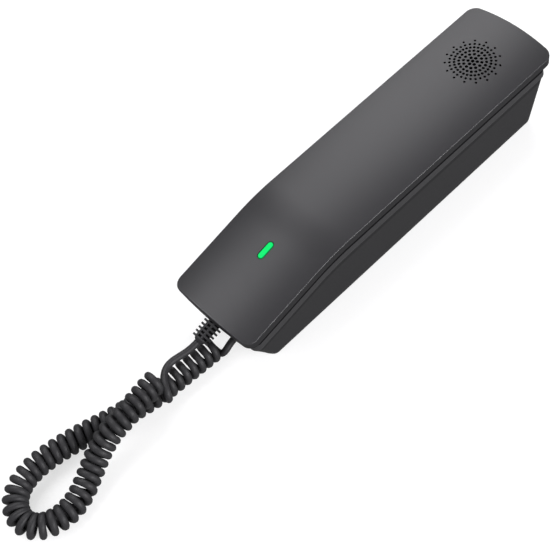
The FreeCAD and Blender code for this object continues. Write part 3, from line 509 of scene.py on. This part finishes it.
def faced(outline, holes, seeds):
    """Triangles that fill an outline around its holes, through the seed points: (points, triangles)."""
    points, edges = [], []
    for loop in [outline] + holes:
        first = len(points)
        points += loop
        edges += [(first + k, first + (k + 1) % len(loop)) for k in range(len(loop))]
    boxes = [(min(x for x, _ in h), max(x for x, _ in h), min(y for _, y in h), max(y for _, y in h)) for h in holes]
    clear_of = 0.3                               # no seed point closer than this to a hole
    for x, y in seeds:
        near = any(a - clear_of < x < b + clear_of and c - clear_of < y < d + clear_of for a, b, c, d in boxes)
        if inside((x, y), outline) and not near:
            points.append((x, y))
    made = delaunay_2d_cdt([Vector(p) for p in points], edges, [], 0, 1e-6, True)
    places, triangles, origins = made[0], made[2], made[3]
    kept = []
    for triangle in triangles:
        middle = sum((places[i] for i in triangle), Vector((0, 0))) / 3
        in_hole = any(
            a <= middle.x <= b and c <= middle.y <= d and inside(middle, h) for h, (a, b, c, d) in zip(holes, boxes)
        )
        if inside(middle, outline) and not in_hole:
            kept.append([origins[i][0] for i in triangle])
    return points, kept


def grid(x0, x1, half, step):
    """Points at the corners of near-equilateral triangles, as seeds for faced()."""
    row = step * 0.87
    return [(x0 + step * (i + 0.5 * (j % 2)), -half + row * j)
            for i in range(int((x1 - x0) / step) + 1) for j in range(int(2 * half / row) + 1)]


# ------------------------------------------------------------------ handset's outer shell
LENGTH_END = 106.6                               # half the handset's length
GRILLE = (75.53, [1, 6, 12, 20, 30, 30, 15], 2.263)                    # middle, holes in each ring, rings' pitch
LAMP_PLACE = (-67.6, 9.5, 3.3)                   # middle, length, width


def shell_outline(inset):
    """The handset's outline in plan, drawn in by inset."""
    return plan(-LENGTH_END, LENGTH_END, HALF, 5.5, 0.8, inset)


def grille_holes():
    """Middle and radius of each sound hole; each ring outwards is a little finer."""
    middle, counts, pitch = GRILLE
    for ring, count in enumerate(counts):
        turn = math.radians(12) if ring == len(counts) - 1 else 0
        for k in range(count):
            angle = turn + 2 * math.pi * k / count
            yield middle + pitch * ring * math.cos(angle), pitch * ring * math.sin(angle), 0.90 - 0.052 * ring


def handset_shell():
    """Crowned face with eased long edges, drilled sound grille and the lamp's slot."""
    easing, steps = 0.5, 6                       # the long edges' radius, and the rings that round them
    chamfer, deep = 0.05, 1.9                    # each hole's
    outer = shell_outline(easing)
    holes, throats = [], []
    for x, y, radius in grille_holes():
        holes.append(circle(x, y, radius + chamfer, 18))
        throats.append(circle(x, y, radius, 18))
    x, length, width = LAMP_PLACE
    holes.append(stadium(x, 0, length + 0.5, width + 0.5))
    throats.append(stadium(x, 0, length + 0.1, width + 0.1))
    points, triangles = faced(outer, holes, grid(-106, 106, 26, 2.4))
    built = bmesh.new()
    skin = [built.verts.new((px * MM, py * MM, crown(px, py) * MM)) for px, py in points]
    normals = {i: crown_normal(*p) for i, p in enumerate(points)}
    for triangle in triangles:
        built.faces.new([skin[i] for i in triangle])
    top_faces = len(built.faces)
    # the eased edge, the side wall and the foot of the wall
    count = len(outer)
    rim = skin[:count]
    rings = []
    for k in range(1, steps + 1):
        turn = math.pi / 2 * k / steps
        inset = easing * (1 - math.sin(turn))
        drop = easing * (1 - math.cos(turn))
        rings.append([(x, y, crown(*outer[i]) - drop) for i, (x, y) in enumerate(shell_outline(inset))])
    wall = ((0, 0.9), (0, 1.6), (0, 3.4), (0, 4.25))                   # inset, and depth below the crease
    foot_and_inside = ((0, 4.5), (0.25, 4.6), (1.9, 4.6), (2.0, 4.4), (2.0, 1.0))
    for inset, low in wall + foot_and_inside:
        rings.append([
            (x + low * math.sin(lean(x)), y, crease(x) - low * math.cos(lean(x))) for x, y in shell_outline(inset)
        ])
    rows = [rim]
    for ring in rings:
        rows.append([built.verts.new(Vector(p) * MM) for p in ring])
    for high, low in zip(rows, rows[1:]):
        for k in range(count):
            built.faces.new((high[k], low[k], low[(k + 1) % count], high[(k + 1) % count]))
    # each hole: a fine chamfer and a wall
    start = count
    for hole, narrow in zip(holes, throats):
        mouth = skin[start:start + len(hole)]
        throat = [built.verts.new(Vector((x, y, crown(x, y) - chamfer)) * MM) for x, y in narrow]
        foot = [built.verts.new(Vector((x, y, crown(x, y) - deep)) * MM) for x, y in narrow]
        for a, b in ((mouth, throat), (throat, foot)):
            for k in range(len(hole)):
                built.faces.new((a[k], a[(k + 1) % len(hole)], b[(k + 1) % len(hole)], b[k]))
        start += len(hole)
    built.verts.index_update()
    mesh = bpy.data.meshes.new("handset_shell")
    built.to_mesh(mesh)
    built.free()
    made = link("handset_shell", mesh, SHELL, "handset")
    for finish in (SHELL_EDGE_HIGHLIGHT, SHELL_SIDE_SHADED, PAINTED_SHADE):
        mesh.materials.append(finish)
    # the eased edges get a painted highlight in a lighter colour
    edge, side, shade = 1, 2, 3
    walls = mesh.polygons[top_faces:top_faces + len(rings) * count]
    # the side wall gets painted shade in a darker colour
    for place, polygon in enumerate(walls):
        ring = place // count
        # the wall's foot and inside get near-black: painted shadow in the gap over the base
        polygon.material_index = edge if ring < steps else shade if ring >= steps + len(wall) else side
    # the holes' chamfers and walls get near-black: painted shade down the sound holes
    for polygon in mesh.polygons[top_faces + len(rings) * count:]:
        polygon.material_index = shade
    # the face and its eased edge take the crown's exact normals, so that the highlights run smoothly
    mesh.set_sharp_from_angle(angle=math.radians(35))
    custom = [corner.vector.copy() for corner in mesh.corner_normals]
    for polygon in mesh.polygons[:top_faces]:
        for corner in polygon.loop_indices:
            vertex = mesh.loops[corner].vertex_index
            if vertex in normals:
                custom[corner] = normals[vertex]
    for polygon in mesh.polygons[top_faces:top_faces + steps * count]:
        for corner in polygon.loop_indices:
            vertex = mesh.loops[corner].vertex_index
            if vertex < count:
                custom[corner] = normals[vertex]
    mesh.normals_split_custom_set([tuple(n) for n in custom])
    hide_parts("handset_outer_shell")


# ------------------------------------------------------------------ lamp
def lamp():
    """Light pipe with a domed top that stands just proud of the handset's face."""
    x, length, width = LAMP_PLACE
    rings = []
    for inset, proud in ((0.0, -1.8), (0.0, -0.05), (0.08, 0.08), (0.28, 0.18), (0.62, 0.25), (1.1, 0.28)):
        loop = stadium(x, 0, length - 0.1 - 2 * inset, width - 0.1 - 2 * inset, 12)
        rings.append([Vector((px, py, crown(px, py) + proud)) * MM for px, py in loop])
    built = bmesh.new()
    rows = loft(built, rings)
    cap(built, rows)
    made = link("lamp_lens", into_mesh(built, "lamp_lens"), LAMP, "handset")
    made.data.materials.append(LAMP_RIM)
    for polygon in made.data.polygons[:3 * len(rings[0])]:             # the part in the slot and its dimmer rim
        polygon.material_index = 1
    soften(made.data, 50)
    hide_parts("indicator_lens")


# ------------------------------------------------------------------ ribbed neck where the cord leaves the handset
NECK_ROOT = Vector((-106.6, 0, 18.94))
NECK_AHEAD = Vector((-math.cos(DROP), 0, -math.sin(DROP)))
NECK_UP = Vector((-math.sin(DROP), 0, math.cos(DROP)))


def on_neck(distance, across, rise):
    return (NECK_ROOT + NECK_AHEAD * distance + Vector((0, 1, 0)) * across + NECK_UP * rise) * MM


def neck():
    """Flexing strain relief: a tapered core, thin square ribs, and short rails that tie each rib to the next."""
    built = bmesh.new()

    def prism(stations):
        rings = [[on_neck(t, y, z) for y, z in plan(-w, w, h, r, 0, 0, 2, 4, 2)] for t, w, h, r in stations]
        cap(built, loft(built, rings))

    prism([(-4.5, 2.9, 2.4, 1.5), (-2.2, 2.9, 2.4, 1.5), (2, 2.7, 2.3, 1.4), (7.4, 2.4, 2.1, 1.4)])
    core_faces = len(built.faces)
    prism([(7.4, 2.7, 2.6, 1.6), (8.0, 2.65, 2.5, 1.8), (8.8, 2.3, 2.2, 1.8), (9.15, 1.95, 1.9, 1.7)])
    ribs = [(-2.9, 4.3), (-0.8, 4.25), (1.35, 4.1), (3.45, 3.95), (5.5, 3.8), (7.55, 3.65)]
    for distance, half in ribs:
        prism([(distance - 0.5, half - 0.15, 3.1, 0.8), (distance - 0.38, half, 3.25, 0.9),
               (distance + 0.38, half, 3.25, 0.9), (distance + 0.5, half - 0.15, 3.1, 0.8)])
    for (near, _), (far, _) in zip(ribs, ribs[1:]):
        for centre in (-1.45, 1.45):
            left, right = centre - 0.5, centre + 0.5
            for low, high in ((1.6, 2.95), (-2.95, -1.6)):
                corners = ((left, low), (right, low), (right, high), (left, high))
                cap(built, loft(built, [[on_neck(t, y, z) for y, z in corners] for t in (near + 0.3, far - 0.3)]))
    made = link("cord_neck", into_mesh(built, "cord_neck"), CORD, "handset")
    made.data.materials.append(PAINTED_SHADE)
    # the core between the ribs is near-black: painted shade
    for polygon in made.data.polygons[:core_faces]:
        polygon.material_index = 1
    soften(made.data, 35)
    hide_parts("handset_neck")
    return made


# ------------------------------------------------------------------ dial and function keys
KEY_FACE, KEY_PROUD = 23.96, 0.8                 # height of the face with the keys, and how far they stand out of it
DIAL = [["1", "2", "3"], ["4", "5", "6"], ["7", "8", "9"], ["star", "0", "hash"]]
SIGNS = {"star": "*", "hash": "#", "volume_up": "+", "volume_down": "-", "hold": "II", "redial": "R"}


def key_places():
    """Each key's name, middle, length and width."""
    for row, names in enumerate(DIAL):
        for column, name in enumerate(names):
            yield name, -34 + 11.5 * (3 - row), 13.0 * (column - 1), 7.0, 9.6
    for column, name in enumerate(("volume_up", "volume_down", "hold", "redial")):
        yield name, 12.0, 9.9 * (column - 1.5), 5.0, 7.6


def key(name, x, y, length, width):
    """Cap with a softly dished face, turned down towards the table, on a hidden flange."""
    low = KEY_FACE - KEY_PROUD
    flange = ((0.6, 26.6), (0.6, 25.95), (0.0, 25.9))                  # growth of the outline, and height
    side_and_face = ((0.0, 0.45), (-0.05, 0.26), (-0.16, 0.1), (-0.34, 0.02), (-0.6, 0), (-1.4, 0.07), (-2.2, 0.12))
    rings = []
    for grow, z in flange + tuple((grow, low + lift) for grow, lift in side_and_face):
        reach = length / 2 + grow
        loop = plan(x - reach, x + reach, width / 2 + grow, max(0.8 + grow, 0.5), 0, 0, 6, 5, 6)
        rings.append([Vector((px, py + y, z)) * MM for px, py in loop])
    built = bmesh.new()
    cap(built, loft(built, rings))
    made = link(f"cap_{name}", into_mesh(built, f"cap_{name}"), KEY, f"dial_key_{name}")
    soften(made.data, 40)
    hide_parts(f"key_{name}")
    key_sign(name, x, y, low + 0.085)


def key_sign(name, x, y, height):
    """The printed sign, read from the side that faces the user's cheek."""
    text = bpy.data.curves.new(f"sign_{name}", "FONT")
    text.body = SIGNS.get(name, name)
    text.size, text.extrude = (4.6 if len(name) < 5 else 3.4) * MM, 0.012 * MM
    text.align_x, text.align_y = "CENTER", "CENTER"
    holder = bpy.data.objects.new("sign", text)
    mesh = bpy.data.meshes.new_from_object(holder)
    bpy.data.objects.remove(holder)
    bpy.data.curves.remove(text)
    ys = [v.co.y for v in mesh.vertices]
    middle = (min(ys) + max(ys)) / 2
    for vertex in mesh.vertices:
        across, up, depth = vertex.co
        vertex.co = (x * MM + up - middle, y * MM + across, height * MM - depth)
    sign = link(f"sign_{name}", mesh, PRINT, f"dial_key_{name}")
    sign.data.shade_flat()


def dressed(node, body, material, easing):
    """A piece of a node's own size with every hard edge eased."""
    built = bmesh.new()
    built.from_mesh(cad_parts[node].data)
    bmesh.ops.remove_doubles(built, verts=built.verts, dist=0.000002)
    bmesh.ops.dissolve_limit(built, angle_limit=math.radians(1.0), verts=built.verts, edges=built.edges)
    mesh = bpy.data.meshes.new(f"{node}_eased")
    built.to_mesh(mesh)
    built.free()
    made = link(f"{node}_eased", mesh, material, body)
    ease = made.modifiers.new("ease", "BEVEL")
    ease.width, ease.segments = easing * MM, 2
    ease.limit_method, ease.angle_limit = "ANGLE", math.radians(38)
    ease.use_clamp_overlap = True
    settle(made)
    soften(made.data, 42)
    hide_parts(node)


# ------------------------------------------------------------------ base
def cutter(name, mesh):
    made = bpy.data.objects.new(name, mesh)
    scene.collection.objects.link(made)
    return made


def block(low, high):
    """A box-like cutter with its long edges eased."""
    built = bmesh.new()
    (x0, y0, z0), (x1, y1, z1) = low, high
    rings = []
    for x in (x0, x1):
        loop = plan(y0, y1, (z1 - z0) / 2, 0.8, 0, 0, 2, 4, 2)
        rings.append([Vector((x, y, z + (z0 + z1) / 2)) * MM for y, z in loop])
    cap(built, loft(built, rings))
    return cutter("block", into_mesh(built, "block"))


def rod(x, y, z0, z1, radius, count=40):
    """An upright round cutter."""
    built = bmesh.new()
    cap(built, loft(built, [[Vector((px, py, z)) * MM for px, py in circle(x, y, radius, count)] for z in (z0, z1)]))
    return cutter("rod", into_mesh(built, "rod"))


def base_cover():
    """Tray with a leaning rim band over a soft step, tapered walls, and the cradle that the handset lies in."""
    sizes = dict(along=96, corner=7, across=10)
    bottom, wall_top, cradle_floor = 0.8, 12.4, 17.5                   # above the table, then below the crease
    widest, trough_half = 25.93, 23.2

    def wall(share, inset=0.0, lift=0.0):
        """The tapered side at a share of its height."""
        loop = plan(-93.1 - 8.3 * share, 93.5 + 7.4 * share, 24.5 + 0.75 * share, 4.0 + 0.2 * share, 0, inset, **sizes)
        return [(x, y, bottom + lift + (crease(x) - wall_top - bottom - lift) * share) for x, y in loop]

    def band(half, depth):
        """The step and the rim band over it."""
        loop = plan(-102.0, 101.4, widest, 4.2, 0, widest - half, **sizes)
        return [(x, y, crease(x) - depth) for x, y in loop]

    def trough(half, depth):
        """The cradle's lip and wall; its cord end leans with the slope."""
        loop = plan(-99.4 + math.sin(DROP) * depth, 99.4, trough_half, 3.0, 0, trough_half - half, **sizes)
        return [(x, y, crease(x) - depth) for x, y in loop]

    seat = plan(-90.2, 91.2, 22.3, 1.0, 0, 0, **sizes)                 # where the bottom cover lies
    rings = [[(x, y, 2.9) for x, y in seat], [(x, y, 1.0) for x, y in seat]]
    rings += [wall(0, 1.2), wall(0, 0.5), wall(0, 0.15, 0.12), wall(0, 0, 0.5)]
    rings += [wall(share) for share in (0.15, 0.4, 0.7, 0.93, 1.0)]
    for half, depth in ((25.30, 11.9), (25.46, 11.3), (25.68, 10.75), (25.85, 10.3), (25.93, 9.85), (25.92, 9.4),
                        (25.62, 7.2), (25.56, 6.65), (25.36, 5.5), (25.24, 5.2), (25.05, 5.05), (24.75, 5.0)):
        rings.append(band(half, depth))
    for half, depth in ((23.6, 4.9), (23.32, 4.98), (23.2, 5.25), (23.2, 16.6), (22.95, 17.2), (22.4, cradle_floor)):
        rings.append(trough(half, depth))
    built = bmesh.new()
    rows = loft(built, [[Vector(p) * MM for p in ring] for ring in rings])
    outline = [(v.co.x / MM, v.co.y / MM) for v in rows[-1]]
    points, triangles = faced(outline, [], grid(-95, 99, 22, 4))
    floor_points = rows[-1] + [
        built.verts.new(Vector((x, y, crease(x) - cradle_floor)) * MM) for x, y in points[len(outline):]
    ]
    for triangle in triangles:
        built.faces.new([floor_points[i] for i in triangle])
    built.faces.new(list(reversed(rows[0])))
    made = link("base_cover", into_mesh(built, "base_cover"), BASE, "base")
    for finish in (BASE_BAND_LIT, BASE_STEP_SHADED, PAINTED_SHADE):
        made.data.materials.append(finish)
    count = len(rows[0])
    band_painted_light, step_painted_shadow, gap_painted_shade = 1, 2, 3
    finish_of_ring = {
        # the step under the rim band: painted shadow in a darker colour
        **dict.fromkeys(range(9, 13), step_painted_shadow),
        # the rim band: painted light in a lighter colour
        **dict.fromkeys(range(13, 18), band_painted_light),
        # the rim band's top and the ledge under the handset's edge: near-black painted shadow
        **dict.fromkeys(range(18, 23), gap_painted_shade),
    }
    for place, polygon in enumerate(made.data.polygons[:(len(rows) - 1) * count]):
        polygon.material_index = finish_of_ring.get(place // count, 0)
    carve(
        made,
        block((80, 0.2, 5.6), (110, 16.8, 19.8)),                      # network socket
        block((84, -15.8, 5.6), (110, -6.2, 17.2)),                    # power socket
        block((-112, -11.7, 3.1), (-78, -0.3, 11.3)),                  # handset cord's socket
        block((-112, -5.2, 13.9), (-95, 5.2, 60)),                     # notch that the neck lies in
        rod(64, 0, 3, 30, 3.3),                                        # hook plunger's hole
    )
    soften(made.data, 28)
    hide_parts("base_top_cover")


# ------------------------------------------------------------------ the table that the phone lies on
def table():
    """Pale paper that glows a little, as bright as the photograph's background."""
    floor_mesh = bpy.data.meshes.new("floor")
    built = bmesh.new()
    bmesh.ops.create_grid(built, x_segments=8, y_segments=8, size=3)
    built.to_mesh(floor_mesh)
    built.free()
    paper = moulded("floor_paper", (0.4, 0.4, 0.4), roughness=0.8, grain=0.004, depth=0.0001, vary=0.005, specular=0.2)
    shader = paper.node_tree.nodes["Principled BSDF"]
    shader.inputs["Emission Color"].default_value = (1, 1, 1, 1)
    shader.inputs["Emission Strength"].default_value = 0.66
    floor = link("floor", floor_mesh, paper)
    floor.visible_glossy = False                 # the plastic mirrors the studio, not a white table


# ------------------------------------------------------------------ everything in its place
camera()
studio()
handset_shell()
curly_cord(neck())
base_cover()
lamp()
for place in key_places():
    key(*place)
dressed("handset_inner_shell", "handset", INNER, 0.25)
dressed("base_bottom_cover", "base", BASE, 0.2)
dressed("rubber_feet", "base", RUBBER, 0.25)
dressed("network_jack", "base", SOCKET, 0.15)
dressed("power_jack", "base", SOCKET, 0.15)
dressed("handset_cord_jack", "base", SOCKET, 0.15)
dressed("hook_plunger", "hook", KEY, 0.4)
dressed("base_screws", "base", STEEL, 0.12)
dressed("handset_screws", "handset", STEEL, 0.12)
table()

FINISHES = {
    BASE: ("base_top_cover", "base_bottom_cover"),
    SHELL: ("handset_outer_shell",),
    INNER: ("handset_inner_shell",),
    BOARD: ("main_board", "handset_board", "indicator_board"),
    LAMP: ("indicator_lens", "indicator_led"),
    CHIP: ("network_processor", "network_transformer", "memory_chip", "audio_chip", "board_connector", "hook_switch"),
    SOCKET: ("network_jack", "power_jack", "handset_cord_jack"),
    CORD: ("cord_coil", "cord_base_lead", "cord_handset_lead", "handset_neck"),
    CLEAR: ("cord_plug",),
    STEEL: ("hook_spring", "base_screws", "handset_screws"),
    DULL_STEEL: (
        "base_weight", "handset_weight", "speaker_magnet", "speaker_frame", "earpiece_capsule", "microphone_capsule",
    ),
    MEMBRANE: ("keypad_membrane", "microphone_boot"),
    CONE: ("speaker_cone",),
    CLOTH: ("grille_cloth",),
    FOAM: ("earpiece_gasket",),
    RUBBER: ("rubber_feet",),
}
finish_of = {name: finish for finish, names in FINISHES.items() for name in names}
for name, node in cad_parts.items():        # the keys and the hook plunger are the rest
    node.data.materials.clear()
    node.data.materials.append(finish_of.get(name, KEY))
